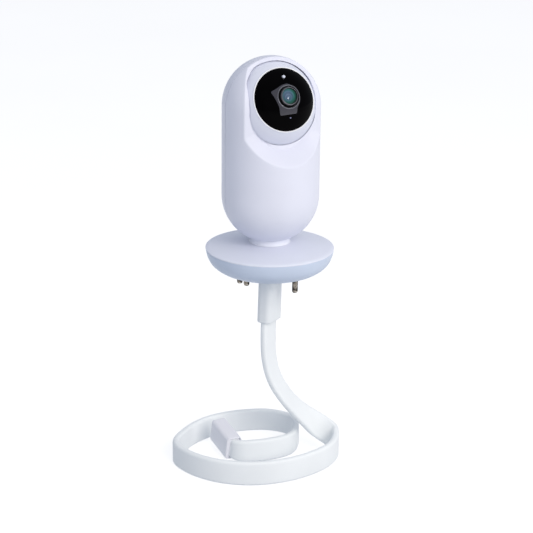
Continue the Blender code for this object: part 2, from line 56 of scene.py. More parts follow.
# The opening in it, and the round room that the lens ball turns in
SLOT_W, SLOT_TOP, SLOT_LIFT, ROOM_R = 25.3, 32.2, 1.1, 32.05
# The lens ball, cut flat at both sides, and what its window shows
HEAD_R, HEAD_W = 31.7, 24.9
WINDOW_R, LENS_R, BRACKET_HOLE_R = 22.2, 8.5, 7.75
RIM_R = WINDOW_R + 0.45
LENS_X, LENS_Z = -0.05, 0.5
GLASS_X, GLASS_Z = 0.8, 0.95
LAMP_X, LAMP_Z = -0.35, 15.1
SENSOR_Z = -13.8
TILT = radians(21.6)
ARM_TURN = radians(-25.0)

# Places: the arm and the studio are turned from the body, which faces -Y
neck_low, neck_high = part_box("neck_ring")
PAN = Vector(((neck_low.x + neck_high.x) / 2 / MM, (neck_low.y + neck_high.y) / 2 / MM, 0.0))
TURN = Matrix.Rotation(ARM_TURN, 4, "Z")
BODY = Matrix.Translation(PAN)
ARM = BODY @ TURN
STUDIO = Matrix.Translation(PAN * MM) @ TURN
HEAD = Matrix.Translation(PAN + Vector((0.0, 0.0, HEAD_Z))) @ Matrix.Rotation(-TILT, 4, "X")


def on_face(x, z):
    """A place on the ball's front, for a turned profile: its height runs out of the face."""
    return HEAD @ Matrix.Translation((x, 0.0, z)) @ Matrix.Rotation(pi / 2, 4, "X")


FACE = on_face(0.0, 0.0)
LENS_FACE = on_face(LENS_X, LENS_Z)
GLASS_FACE = on_face(GLASS_X, GLASS_Z)


# ---------------------------------------------------------------- camera
cam = bpy.data.cameras.new("camera")
cam.lens, cam.sensor_width = 116.6, 36.0
cam_obj = bpy.data.objects.new("camera", cam)
bpy.context.scene.collection.objects.link(cam_obj)
CAMERA_AT = Vector((0.0, -1191.5, 543.0))
PITCH, YAW, ROLL = radians(18.23), radians(-0.106), radians(0.6)
ahead = Vector((sin(YAW) * cos(PITCH), cos(YAW) * cos(PITCH), -sin(PITCH)))
level = Vector((cos(YAW), -sin(YAW), 0.0))
above = level.cross(ahead)
right = level * cos(ROLL) + above * sin(ROLL)
up = above * cos(ROLL) - level * sin(ROLL)
look = Matrix((right, up, -ahead)).transposed().to_4x4()
cam_obj.matrix_world = STUDIO @ Matrix.Translation(CAMERA_AT * MM) @ look
cam.clip_end = 50.0
bpy.context.scene.camera = cam_obj


# ---------------------------------------------------------------- mesh helpers
def make(name, bm, mat, body, sharp=35.0, replaces=()):
    """Turns a mesh in mm into a piece that rides on a body, in place of the CAD nodes named."""
    bmesh.ops.scale(bm, vec=(MM, MM, MM), verts=bm.verts)
    bmesh.ops.recalc_face_normals(bm, faces=bm.faces)
    mesh = bpy.data.meshes.new(name)
    bm.to_mesh(mesh)
    bm.free()
    obj = bpy.data.objects.new(name, mesh)
    bpy.context.scene.collection.objects.link(obj)
    mesh.materials.append(mat)
    mesh.shade_smooth()
    mesh.set_sharp_from_angle(angle=radians(sharp))
    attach(obj, body)
    if replaces:
        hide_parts(*replaces)
    return obj


def skin(bm, rings, closed_rows=False):
    """Joins each closed ring of points to the next, and the last to the first where closed_rows is True."""
    made = [[bm.verts.new(p) for p in ring] for ring in rings]
    rows = list(zip(made, made[1:])) + ([(made[-1], made[0])] if closed_rows else [])
    for one, two in rows:
        n = len(one)
        for i in range(n):
            j = (i + 1) % n
            bm.faces.new((one[i], one[j], two[j], two[i]))
    return made


def lofted(rings):
    """A solid through closed rings of points, closed at both ends."""
    bm = bmesh.new()
    made = skin(bm, rings)
    bm.faces.new(made[0][::-1])
    bm.faces.new(made[-1])
    return bm


def soften(points, radius, steps=4, loop=False):
    """Rounds the corners of a line of points that may end on the axis, or of a loop. A third number
    in a point is that corner's own radius."""
    out = []
    n = len(points)
    for i, p in enumerate(points):
        p = Vector(p[:2])
        r = points[i][2] if len(points[i]) > 2 else radius
        if r == 0 or (not loop and (i in (0, n - 1) or p.x < 1e-6)):
            out.append(p)
            continue
        a, b = Vector(points[i - 1][:2]), Vector(points[(i + 1) % n][:2])
        da, db = a - p, b - p
        cut = min(r, da.length * 0.45, db.length * 0.45)
        s, e = p + da.normalized() * cut, p + db.normalized() * cut
        for k in range(steps + 1):
            u = k / steps
            out.append(s * (1 - u) ** 2 + p * (2 * u * (1 - u)) + e * u * u)
    return out


def turned(profile, place, steps=96, loop=False):
    """A body of revolution about place's Z; points on the axis close it."""
    bm = bmesh.new()
    rings = []
    for r, h in profile:
        if r < 1e-6:
            rings.append([bm.verts.new(place @ Vector((0.0, 0.0, h)))])
            continue
        ring = []
        for k in range(steps):
            a = 2 * pi * k / steps
            ring.append(bm.verts.new(place @ Vector((r * cos(a), r * sin(a), h))))
        rings.append(ring)
    pairs = list(zip(rings, rings[1:])) + ([(rings[-1], rings[0])] if loop else [])
    for one, two in pairs:
        if len(one) == 1 and len(two) == 1:
            continue
        for k in range(steps):
            m = (k + 1) % steps
            corners = [one[k % len(one)], one[m % len(one)], two[m % len(two)], two[k % len(two)]]
            bm.faces.new(list(dict.fromkeys(corners)))
    return bm


def arc(r, start, end, count):
    """(r, h) points of a circle, angles in degrees from the axis of turning."""
    turns = [radians(start + (end - start) * k / count) for k in range(count + 1)]
    return [(r * sin(a), r * cos(a)) for a in turns]


def disc(r, count, x=0.0, z=0.0):
    """Points round a circle."""
    turns = [2 * pi * k / count for k in range(count)]
    return [(x + r * cos(a), z + r * sin(a)) for a in turns]


def rounded(half_a, half_b, r, corner=6):
    """Points round a rectangle with rounded corners."""
    points = []
    for k, (sa, sb) in enumerate(((1, 1), (-1, 1), (-1, -1), (1, -1))):
        for c in range(corner + 1):
            a = pi / 2 * (k + c / corner)
            points.append((sa * (half_a - r) + r * cos(a), sb * (half_b - r) + r * sin(a)))
    return points


def soft_min(a, b, k):
    """The smaller of two values, with a rounded change from one to the other."""
    return (a + b - sqrt((a - b) ** 2 + k * k)) / 2


def soft_rise(t, k):
    """t above nought and nought below it, with a rounded change."""
    return (t + sqrt(t * t + k * k)) / 2


# ---------------------------------------------------------------- materials
def shader(name):
    """A new material, with its nodes, links and main shader."""
    mat = bpy.data.materials.new(name)
    mat.use_nodes = True
    return mat, mat.node_tree.nodes, mat.node_tree.links, mat.node_tree.nodes["Principled BSDF"]


def noise(nodes, links, scale, detail=3.0, stretch=None):
    """Noise on the object's own coordinates."""
    coord = nodes.new("ShaderNodeTexCoord")
    source = coord.outputs["Object"]
    if stretch:
        mapping = nodes.new("ShaderNodeMapping")
        mapping.inputs["Scale"].default_value = stretch
        links.new(source, mapping.inputs["Vector"])
        source = mapping.outputs["Vector"]
    tex = nodes.new("ShaderNodeTexNoise")
    tex.inputs["Scale"].default_value = scale
    tex.inputs["Detail"].default_value = detail
    links.new(source, tex.inputs["Vector"])
    return tex.outputs["Fac"]


def ramp(nodes, links, fac, stops):
    made = nodes.new("ShaderNodeValToRGB")
    while len(made.color_ramp.elements) < len(stops):
        made.color_ramp.elements.new(0.5)
    for element, (pos, colour) in zip(made.color_ramp.elements, stops):
        element.position = pos
        element.color = (*colour, 1.0)
    links.new(fac, made.inputs["Fac"])
    return made.outputs["Color"]


def spread(nodes, links, fac, low, high):
    """Maps the middle of a noise's range to low..high."""
    made = nodes.new("ShaderNodeMapRange")
    made.inputs["From Min"].default_value = 0.3
    made.inputs["From Max"].default_value = 0.7
    made.inputs["To Min"].default_value = low
    made.inputs["To Max"].default_value = high
    links.new(fac, made.inputs["Value"])
    return made.outputs["Result"]


def bump(nodes, links, bsdf, fac, strength, distance):
    made = nodes.new("ShaderNodeBump")
    made.inputs["Strength"].default_value = strength
    made.inputs["Distance"].default_value = distance
    links.new(fac, made.inputs["Height"])
    links.new(made.outputs["Normal"], bsdf.inputs["Normal"])


def moulded(name, colour, rough=0.4, vary=0.02, grain=2600.0, depth=0.00002, metal=0.0, spec=0.5):
    """Moulded plastic or rubber: a faint drift of tone, uneven gloss and a fine grain."""
    mat, nodes, links, bsdf = shader(name)
    drift = noise(nodes, links, 34.0, 2.0)
    low = [max(0.0, c * (1 - vary)) for c in colour]
    high = [min(1.0, c * (1 + vary)) for c in colour]
    links.new(ramp(nodes, links, drift, [(0.3, low), (0.7, high)]), bsdf.inputs["Base Color"])
    blotch = noise(nodes, links, 180.0, 4.0)
    links.new(spread(nodes, links, blotch, rough * 0.9, min(1.0, rough * 1.12)), bsdf.inputs["Roughness"])
    bump(nodes, links, bsdf, noise(nodes, links, grain, 2.0), 0.25, depth)
    bsdf.inputs["Metallic"].default_value = metal
    bsdf.inputs["Specular IOR Level"].default_value = spec
    return mat


def metalled(name, colour, dark, rough=0.28, stretch=(1.0, 1.0, 14.0)):
    """Turned metal: fine drawn lines, stained here and there."""
    mat, nodes, links, bsdf = shader(name)
    stain = noise(nodes, links, 420.0, 5.0)
    links.new(ramp(nodes, links, stain, [(0.38, dark), (0.6, colour)]), bsdf.inputs["Base Color"])
    lines = noise(nodes, links, 700.0, 3.0, stretch)
    links.new(spread(nodes, links, lines, rough * 0.7, rough * 1.5), bsdf.inputs["Roughness"])
    bump(nodes, links, bsdf, lines, 0.3, 0.00003)
    bsdf.inputs["Metallic"].default_value = 1.0
    return mat


def board(name, colour):
    """Circuit board: solder mask over fine tracks."""
    mat, nodes, links, bsdf = shader(name)
    coord = nodes.new("ShaderNodeTexCoord")
    tex = nodes.new("ShaderNodeTexBrick")
    tex.inputs["Scale"].default_value = 420.0
    tex.inputs["Mortar Size"].default_value = 0.06
    tex.inputs["Color1"].default_value = (*colour, 1.0)
    tex.inputs["Color2"].default_value = (*[c * 0.8 for c in colour], 1.0)
    tex.inputs["Mortar"].default_value = (*[min(1.0, c * 2.2 + 0.02) for c in colour], 1.0)
    links.new(coord.outputs["Object"], tex.inputs["Vector"])
    links.new(tex.outputs["Color"], bsdf.inputs["Base Color"])
    bump(nodes, links, bsdf, tex.outputs["Fac"], 0.3, 0.00004)
    bsdf.inputs["Roughness"].default_value = 0.35
    return mat


SHELL = moulded("shell_plastic", (0.77, 0.785, 0.885), 0.38, 0.015)
HEAD_SHELL = moulded("head_plastic", (0.74, 0.76, 0.86), 0.36, 0.015)
PLATE = moulded("plate_plastic", (0.78, 0.805, 0.90), 0.42, 0.015)
# The window rim's bead is whiter than the head plastic round it: a painted highlight on its rolled edge,
# added to the light its shape catches
RIM_PAINTED_HIGHLIGHT = moulded("rim_painted_highlight", (0.93, 0.945, 0.985), 0.3, 0.01)
NECK = moulded("neck_plastic", (0.85, 0.87, 0.95), 0.38, 0.01)
BOWL = moulded("bowl_plastic", (0.60, 0.68, 0.82), 0.42, 0.03)
SILICONE = moulded("arm_silicone", (0.90, 0.928, 0.935), 0.55, 0.02, grain=1800.0, depth=0.00004)
SILICONE.node_tree.nodes["Principled BSDF"].inputs["Sheen Weight"].default_value = 0.15
TRIM = moulded("trim_plastic", (0.85, 0.85, 0.90), 0.42, 0.02)
COLLAR = moulded("collar_plastic", (0.83, 0.86, 0.875), 0.42, 0.02)
LINER = moulded("liner_black", (0.003, 0.003, 0.0035), 0.8, 0.1, spec=0.1)
GREY = moulded("bracket_grey", (0.034, 0.033, 0.043), 0.35, 0.12, depth=0.00005)
RING = moulded("ring_grey", (0.17, 0.17, 0.19), 0.3, 0.08, metal=0.6)
STEEL = metalled("stud_steel", (0.50, 0.46, 0.41), (0.035, 0.028, 0.022), 0.22)
CAN = metalled("motor_can", (0.60, 0.60, 0.62), (0.40, 0.40, 0.42))
INNER = moulded("inner_plastic", (0.45, 0.46, 0.50), 0.5, 0.06, grain=900.0, depth=0.00008)
NYLON = moulded("gear_nylon", (0.80, 0.78, 0.70), 0.45, 0.05)
CHIP = moulded("chip_black", (0.02, 0.02, 0.022), 0.5, 0.2, grain=1500.0, depth=0.00006)
BOARD = board("board_green", (0.02, 0.14, 0.06))
SENSOR = moulded("sensor_blue", (0.16, 0.165, 0.27), 0.25, 0.1)
LAMP = moulded("lamp_white", (0.62, 0.65, 0.74), 0.25, 0.02)


def window_material():
    """Gloss black cover, with a little haze."""
    mat, nodes, links, bsdf = shader("window_gloss")
    tone = noise(nodes, links, 60.0, 2.0)
    stops = [(0.3, (0.0008, 0.0007, 0.0009)), (0.7, (0.0016, 0.0014, 0.0017))]
    links.new(ramp(nodes, links, tone, stops), bsdf.inputs["Base Color"])
    haze = noise(nodes, links, 240.0, 3.0)
    links.new(spread(nodes, links, haze, 0.05, 0.09), bsdf.inputs["Roughness"])
    bsdf.inputs["Specular IOR Level"].default_value = 0.02
    return mat


WINDOW = window_material()


def glass_material():
    """Front glass with a painted reflection: blue with faint rings round a bright spot, lightest towards the
    left, going green and then near black at one side of the rim.
    """
    mat, nodes, links, bsdf = shader("lens_painted_reflection")
    coord = nodes.new("ShaderNodeTexCoord")

    def reach(centre, full):
        """Distance from a point near the lens axis, which becomes 1 when it is full mm."""
        far = nodes.new("ShaderNodeVectorMath")
        far.operation = "DISTANCE"
        far.inputs[1].default_value = (GLASS_FACE @ Vector(centre)) * MM
        links.new(coord.outputs["Object"], far.inputs[0])
        span = nodes.new("ShaderNodeMapRange")
        span.inputs["From Max"].default_value = full * MM
        links.new(far.outputs["Value"], span.inputs["Value"])
        return span.outputs["Result"]

    # Painted reflection: lightest blue near a point left of the lens axis, through teal and green to near
    # black at the far side of the rim
    reflection_tint = [
        (0.0, (0.17, 0.24, 0.35)),
        (0.25, (0.115, 0.18, 0.28)),
        (0.42, (0.08, 0.15, 0.22)),
        (0.55, (0.05, 0.17, 0.18)),
        (0.68, (0.015, 0.11, 0.08)),
        (0.84, (0.004, 0.035, 0.024)),
        (1.0, (0.002, 0.012, 0.01)),
    ]
    # Painted reflection of rings, bright at their centre, which sits below and left of the lens axis where
    # the highlight falls
    rings = [(0.0, 1.0), (0.05, 0.85), (0.13, 0.55), (0.27, 0.5), (0.33, 0.78), (0.39, 0.5)]
    rings += [(0.56, 0.62), (0.62, 0.85), (0.68, 0.6), (0.84, 0.66), (0.95, 0.3), (1.0, 0.2)]
    reflection_at, reflection_r = (-1.6, 0.4, 31.1), 7.4
    reflection_rings_at, reflection_rings_r = (-1.3, -0.9, 31.3), 6.9
    colour = ramp(nodes, links, reach(reflection_at, reflection_r), reflection_tint)
    reflection_rings = ramp(nodes, links, reach(reflection_rings_at, reflection_rings_r), [(at, (v, v, v)) for at, v in rings])
    mixed = nodes.new("ShaderNodeVectorMath")
    mixed.operation = "MULTIPLY"
    links.new(colour, mixed.inputs[0])
    links.new(reflection_rings, mixed.inputs[1])
    gain = nodes.new("ShaderNodeVectorMath")
    gain.operation = "SCALE"
    gain.inputs["Scale"].default_value = 1.15
    links.new(mixed.outputs["Vector"], gain.inputs[0])
    links.new(gain.outputs["Vector"], bsdf.inputs["Base Color"])
    speck = noise(nodes, links, 900.0, 2.0)
    links.new(spread(nodes, links, speck, 0.03, 0.06), bsdf.inputs["Roughness"])
    bump(nodes, links, bsdf, speck, 0.05, 0.00001)
    bsdf.inputs["Coat Weight"].default_value = 0.2
    bsdf.inputs["Coat Roughness"].default_value = 0.02
    bsdf.inputs["Specular IOR Level"].default_value = 0.15
    return mat


GLASS = glass_material()

# The CAD nodes that keep their shape
CARRIED = {
    "chassis": INNER, "pan_post": INNER, "main_board": BOARD, "sensor_board": BOARD,
    "board_chip": CHIP, "image_sensor": CHIP, "speaker": CHIP, "microphone": CAN,
    "power_socket": CAN, "pan_motor": CAN, "tilt_motor": CAN, "arm_plug": STEEL,
    "arm_nut": STEEL, "pan_sun_gear": NYLON, "pan_pinion": NYLON, "tilt_fixed_gear": NYLON,
    "tilt_pinion": NYLON, "tilt_axle_left": STEEL, "tilt_axle_right": STEEL, "pair_button": TRIM,
}
for node, mat in CARRIED.items():
    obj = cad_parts[node]
    obj.data.materials.clear()
    obj.data.materials.append(mat)


# ---------------------------------------------------------------- body shells
def capsule_depth(x, z, r):
    """How far forward a capsule of radius r stands at a point of the front view."""
    dz = z - HEAD_Z if z > HEAD_Z else min(0.0, z - LOW_Z)
    return sqrt(max(0.0, r * r - x * x - dz * dz))


def face_depth(x, h):
    """How far the lens opening's surround stands forward: arched back above, a lip below."""
    if h >= 0.0:
        arched = FACE_Y - FACE_ARC_R + sqrt(max(0.0, FACE_ARC_R**2 - h * h))
        return (arched + FACE_TOP_Y + sqrt((arched - FACE_TOP_Y) ** 2 + 5.0)) / 2
    reach = max(1e-6, hypot(x, h))
    end_r = LIP_SIDE_R + (LIP_FRONT_R - LIP_SIDE_R) * -h / reach
    body_y = sqrt(max(0.0, BODY_R**2 - (end_r * x / reach) ** 2))
    share = max(0.0, (reach - SLOT_W) / (end_r - SLOT_W))
    return FACE_Y + soft_rise(body_y - FACE_Y, 0.5) * soft_rise(share, 0.04)


def front_depth(x, z, r=BODY_R, back=0.0):
    """How far forward the front shell stands. A smaller r and some back give its inside."""
    return soft_min(capsule_depth(x, z, r), face_depth(x, z - HEAD_Z) - back, 0.5)


def room_depth(x, z):
    """How far forward the room around the ball reaches; past the ball's flat sides it drops away."""
    h = z - HEAD_Z
    within = min(1.0, max(0.0, (SLOT_W - abs(x)) / (SLOT_W - HEAD_W)))
    return sqrt(max(0.0, ROOM_R**2 - x * x - h * h)) - 3.0 * (1 - within)


def slot_reach(a):
    """The opening's edge from the head's centre, at an angle above the level."""
    if sin(a) <= 0.0:
        return SLOT_W - SLOT_LIFT * sin(a) ** 4
    return soft_min(SLOT_W / max(1e-6, abs(cos(a))), SLOT_TOP, 1.0)


def outline_reach(a, r):
    """The capsule's outline from the head's centre, at an angle above the level."""
    c, s = cos(a), sin(a)
    if s >= 0.0:
        return r
    side = r / max(1e-6, abs(c))
    if HEAD_Z + side * s >= LOW_Z:
        return side
    down = HEAD_Z - LOW_Z
    b = -s * down
    reach = b + sqrt(max(0.0, b * b - down * down + r * r))
    return min(reach, (BOTTOM_Z - HEAD_Z) / s)


def over_top(a):
    """Nought at the sides of the opening, rising to 1 over its top."""
    t = min(1.0, max(0.0, (sin(a) - 0.1) / 0.35))
    return t * t * (3 - 2 * t)


def front_shell():
    """Rings round the head's centre: the opening's wall, its rounded edge, the front, and the inside."""
    around, edge_rows, near_rows, far_rows, inner_rows = 288, 4, 44, 28, 18
    # The opening's rounded edge, its wall's drop at the sides and its end over the top, and the least walls
    fillet, wall_drop, top_depth, room_wall, edge_wall = 0.45, 4.5, 1.6, 0.35, 0.6
    # What the edge keeps clear of the room over the top, and where the even rings stop
    clearance, near_limit, near_share = 0.4, 40.0, 0.97
    back_edge, inner_edge = SEAM - PARTING, -0.56
    angles = [2 * pi * k / around for k in range(around)]

    def ring(reach, depth):
        made = []
        for a in angles:
            r = reach(a)
            x, z = r * cos(a), HEAD_Z + r * sin(a)
            made.append(BODY @ Vector((x, -max(back_edge, depth(a, x, z)), z)))
        return made

    def outer(a, x, z):
        return max(front_depth(x, z), room_depth(x, z) + room_wall)

    def edge_reach(a):
        """The lip's inner edge. Over the top it is drawn in, mostly at one side, and clears the ball."""
        wide = slot_reach(a)
        r = wide + fillet
        depth = front_depth(r * cos(a), HEAD_Z + r * sin(a))
        close = sqrt(max(0.0, (ROOM_R + clearance) ** 2 - depth * depth))
        side = 0.55 + 0.45 * min(1.0, max(-1.0, cos(a) / 0.5))
        return wide - side * over_top(a) * soft_rise(wide - close, 0.4)

    def lip(a):
        r = edge_reach(a) + fillet
        return outer(a, r * cos(a), HEAD_Z + r * sin(a))

    def near_end(a):
        """Where the front's even rings end and closer ones lead to the outline."""
        start = edge_reach(a) + fillet
        return min(near_limit, start + near_share * (outline_reach(a, BODY_R) - start))

    def wall_end(a, x, z):
        high = max(lip(a) - wall_drop, room_depth(x, z) + 0.02)
        return high * (1 - over_top(a)) + min(high, top_depth) * over_top(a)

    rings = [ring(slot_reach, wall_end)]
    for k in range(edge_rows + 1):
        turn = pi / 2 * k / edge_rows
        rings.append(
            ring(
                lambda a: edge_reach(a) + fillet * (1 - cos(turn)),
                lambda a, x, z: max(lip(a) - fillet * (1 - sin(turn)), room_depth(x, z) + 0.1),
            )
        )
    for j in range(1, near_rows + 1):
        share = j / near_rows
        rings.append(ring(lambda a: (edge_reach(a) + fillet) * (1 - share) + near_end(a) * share, outer))
    for j in range(1, far_rows + 1):
        share = sin(pi / 2 * j / far_rows)
        rings.append(ring(lambda a: near_end(a) * (1 - share) + outline_reach(a, BODY_R) * share, outer))
    for drop, sink in ((0.02, -0.38), (0.07, -0.5), (0.18, inner_edge)):
        rings.append(ring(lambda a: outline_reach(a, BODY_R) - drop, lambda a, x, z: sink))

    def inner_reach(a, share):
        outline = min(outline_reach(a, BODY_R - WALL), outline_reach(a, BODY_R) - edge_wall)
        return (slot_reach(a) + edge_wall * over_top(a)) * (1 - share) + outline * share

    def inner_depth(x, z, share):
        back = 2.0 + 2.5 * (1 - share) ** 4
        return max(front_depth(x, z, BODY_R - WALL, back), room_depth(x, z))

    rings.append(ring(lambda a: inner_reach(a, 1.0), lambda a, x, z: inner_edge))
    for j in range(1, inner_rows + 1):
        share = sin(pi / 2 * (1 - j / inner_rows))
        rings.append(ring(lambda a: inner_reach(a, share), lambda a, x, z: inner_depth(x, z, share)))
    bm = bmesh.new()
    skin(bm, rings, closed_rows=True)
    make("front_shell", bm, SHELL, "body", 40.0, ("body_front_shell",))


front_shell()


def meridian(r, floor):
    """Half of a capsule's side view, from its flat floor to its top, as (radius, height) points."""
    low = degrees(asin(min(1.0, (LOW_Z - floor) / r)))
    below = [radians(-low + low * k / 20) for k in range(20)]
    above = [radians(90 * k / 30) for k in range(31)]
    points = [(r * cos(a), LOW_Z + r * sin(a)) for a in below]
    points += [(r, LOW_Z + (HEAD_Z - LOW_Z) * k / 24) for k in range(24)]
    return points + [(r * cos(a), HEAD_Z + r * sin(a)) for a in above]


def back_cutter(outline):
    """A prism through the back wall, from an outline in the back view."""
    inside_y, outside_y = 20.0, 50.0
    bm = lofted([[BODY @ Vector((x, y, z)) for x, z in outline] for y in (inside_y, outside_y)])
    bmesh.ops.recalc_face_normals(bm, faces=bm.faces)
    bmesh.ops.scale(bm, vec=(MM, MM, MM), verts=bm.verts)
    mesh = bpy.data.meshes.new("cut")
    bm.to_mesh(mesh)
    bm.free()
    obj = bpy.data.objects.new("cut", mesh)
    bpy.context.scene.collection.objects.link(obj)
    return obj


def rear_shell():
    """Half a capsule with a flat parting edge, hollow, with its holes cut."""
    floor_wall, steps = 2.4, 96
    section = meridian(BODY_R, BOTTOM_Z) + meridian(BODY_R - WALL, BOTTOM_Z + floor_wall)[::-1]
    loops = []
    for k in range(steps + 1):
        a = pi * k / steps
        loops.append([BODY @ Vector((r * cos(a), max(PARTING + SEAM, r * sin(a)), z)) for r, z in section])
    bm = lofted(loops)
    bmesh.ops.remove_doubles(bm, verts=bm.verts, dist=0.0005)
    shell = make("rear_shell", bm, SHELL, "body", 40.0, ("body_rear_shell",))

    socket_z, button_z, microphone_x, microphone_z, sound_z = 189.0, 200.0, 9.0, 204.0, 216.0
    cutters = [
        back_cutter([(x, socket_z + z) for x, z in rounded(5.2, 2.4, 1.2)]),
        back_cutter(disc(3.3, 32, 0.0, button_z)),
        back_cutter(disc(0.7, 16, microphone_x, microphone_z)),
    ]
    for k in range(-2, 3):
        cutters.append(back_cutter([(k * 4.5 + x, sound_z + z) for x, z in rounded(0.8, 6.0 - abs(k), 0.79)]))
    for obj in cutters:
        mod = shell.modifiers.new("cut", "BOOLEAN")
        mod.operation, mod.object, mod.solver = "DIFFERENCE", obj, "EXACT"
    bpy.context.view_layer.update()
    graph = bpy.context.evaluated_depsgraph_get()
    final = bpy.data.meshes.new_from_object(shell.evaluated_get(graph))
    shell.modifiers.clear()
    shell.data = final
    final.set_sharp_from_angle(angle=radians(35.0))
    for obj in cutters:
        bpy.data.objects.remove(obj, do_unlink=True)


def body_floor():
    """A ring that closes the body's floor."""
    inner_r, outer_r, low, high = 5.9, 15.4, 174.75, 176.8
    profile = soften([(inner_r, low), (outer_r, low), (outer_r, high), (inner_r, high)], 0.3, 3, True)
    make("body_floor", turned(profile, BODY, 64, True), SHELL, "body")


rear_shell()
body_floor()


# ---------------------------------------------------------------- head
def head_ball():
    """The ball with flat sides, open at the window, whose edge is rolled."""
    edge_h, roll = 21.86, 0.4
    profile = [(WINDOW_R - 0.15, 19.0), (WINDOW_R - 0.15, 21.7)]
    for k in range(9):
        a = radians(200 - 200 * k / 8)
        profile.append((RIM_R + roll * cos(a) * 1.1, edge_h + roll * sin(a)))
    start = degrees(asin((RIM_R + roll * 1.2) / HEAD_R))
    profile += arc(HEAD_R, start, 180.0, 90)
    profile[-1] = (0.0, -HEAD_R)
    bm = turned(profile, FACE, 144)
    for sign in (-1, 1):
        side = HEAD @ Vector((sign * HEAD_W, 0.0, 0.0))
        out = Vector((sign, 0.0, 0.0))
        geom = list(bm.verts) + list(bm.edges) + list(bm.faces)
        cut = bmesh.ops.bisect_plane(bm, geom=geom, dist=1e-4, plane_co=side, plane_no=out, clear_outer=True)
        rim = [e for e in cut["geom_cut"] if isinstance(e, bmesh.types.BMEdge)]
        bmesh.ops.edgeloop_fill(bm, edges=rim)
    make("head_ball", bm, HEAD_SHELL, "head", 40.0, ("head_front_shell", "head_rear_shell"))


def window():
    """The rim's bead, the domed cover with its lens hole, and a dark cup behind it."""
    bead_r, bead_h = 0.46, 21.89
    turns = [radians(-30 + 240 * k / 16) for k in range(17)]
    bead = [(RIM_R + bead_r * cos(a), bead_h + bead_r * sin(a)) for a in turns]
    # The bead's whiter material is a painted highlight
    make("window_rim", turned(bead, FACE, 144, True), RIM_PAINTED_HIGHLIGHT, "head")

    hole_r, edge_r, front_r, back_r = 8.55, WINDOW_R - 0.1, HEAD_R - 0.05, HEAD_R - 1.6
    hole, edge = degrees(asin(hole_r / HEAD_R)), degrees(asin(edge_r / HEAD_R))
    cover = arc(front_r, hole, edge, 40) + arc(back_r, edge, hole, 24)
    make("dome_cover", turned(cover, FACE, 144, True), WINDOW, "head", 40.0, ("dome_window",))
    cup = [(21.9, 21.0), (21.9, 17.0), (7.7, 17.0), (7.7, 26.0)]
    make("head_liner", turned(cup, FACE, 64), LINER, "head")


def bracket():
    """The grey plate seen in the window: an outline laid on the ball, with a hole round the lens."""
    outline = [(-12.3, 5.2), (-10.3, 0.6), (-8.0, -5.8), (-7.4, -11.8), (5.0, -11.3), (5.4, -7.4)]
    outline += [(8.2, -3.2), (8.4, 1.2), (6.3, 5.6), (3.2, 8.5), (0.4, 10.0), (-3.6, 9.3), (-7.6, 7.2)]
    corner_r, spacing = 1.2, 0.7
    corners = soften(outline, corner_r, 4, True)
    loop = []
    for p, q in zip(corners, corners[1:] + corners[:1]):
        parts = max(1, round((q - p).length / spacing))
        loop += [p.lerp(q, k / parts) for k in range(parts)]
    middle = Vector((LENS_X, LENS_Z))
    rows = [(1.0, -0.3), (1.0, 0.03), (0.99, 0.07)] + [(share, 0.08) for share in (0.9, 0.8, 0.7, 0.6, 0.4)]
    rings = []
    for share, rise in rows:
        ring = []
        for p in loop:
            q = (p - middle) * share
            if q.length < BRACKET_HOLE_R:
                q = q.normalized() * BRACKET_HOLE_R
            q += middle
            depth = sqrt((HEAD_R + rise) ** 2 - q.length_squared)
            ring.append(HEAD @ Vector((q.x, -depth, q.y)))
        rings.append(ring)
    bm = bmesh.new()
    skin(bm, rings)
    make("bracket_plate", bm, GREY, "head", 40.0, ("lens_bracket",))


def lens():
    """The outer ring, a dark well, the inner ring and the domed front glass."""
    barrel = [(6.7, 16.0, 0), (7.5, 16.0, 0), (7.5, 29.4, 0), (LENS_R, 29.5), (LENS_R, 30.85)]
    barrel = soften(barrel + [(7.9, 31.0), (7.7, 30.2)], 0.25, 4)
    make("lens_ring", turned(barrel, LENS_FACE, 128), RING, "head", 50.0, ("lens_barrel",))
    well = soften([(7.72, 30.5), (7.6, 29.3), (6.2, 29.2), (6.15, 29.5)], 0.1, 2)
    make("lens_well", turned(well, LENS_FACE, 128), LINER, "head", 50.0)
    inner = soften([(6.6, 29.3), (6.6, 30.2), (6.3, 30.8), (5.75, 31.35), (5.62, 31.0), (5.6, 30.4)], 0.2, 4)
    make("lens_inner_ring", turned(inner, GLASS_FACE, 128), RING, "head", 50.0)
    glass_r, glass_h, dome = 5.6, 30.6, 1.0
    turns = [pi / 2 * (1 - k / 20) for k in range(20)]
    front = [(5.63, 30.1)] + [(glass_r * sin(a), glass_h + dome * cos(a)) for a in turns]
    front.append((0.0, glass_h + dome))
    make("front_glass", turned(front, GLASS_FACE, 128), GLASS, "head", 60.0, ("lens_glass",))


def lamps():
    """The white lamp above the lens and the light sensor's dot below it."""
    lamp = soften([(1.15, 26.0), (1.15, 28.3), (0.95, 28.6), (0.55, 28.76), (0.0, 28.8)], 0.15, 3)
    place = on_face(LAMP_X, LAMP_Z)
    make("lamp_dome", turned(lamp, place, 48), LAMP, "head", 60.0, ("status_lamp",))
    eye = soften([(0.55, 27.0), (0.55, 28.75), (0.35, 28.9), (0.0, 28.95)], 0.1, 3)
    place = on_face(0.0, SENSOR_Z)
    make("sensor_eye", turned(eye, place, 32), SENSOR, "head", 60.0, ("light_sensor",))


head_ball()
window()
bracket()
lens()
lamps()


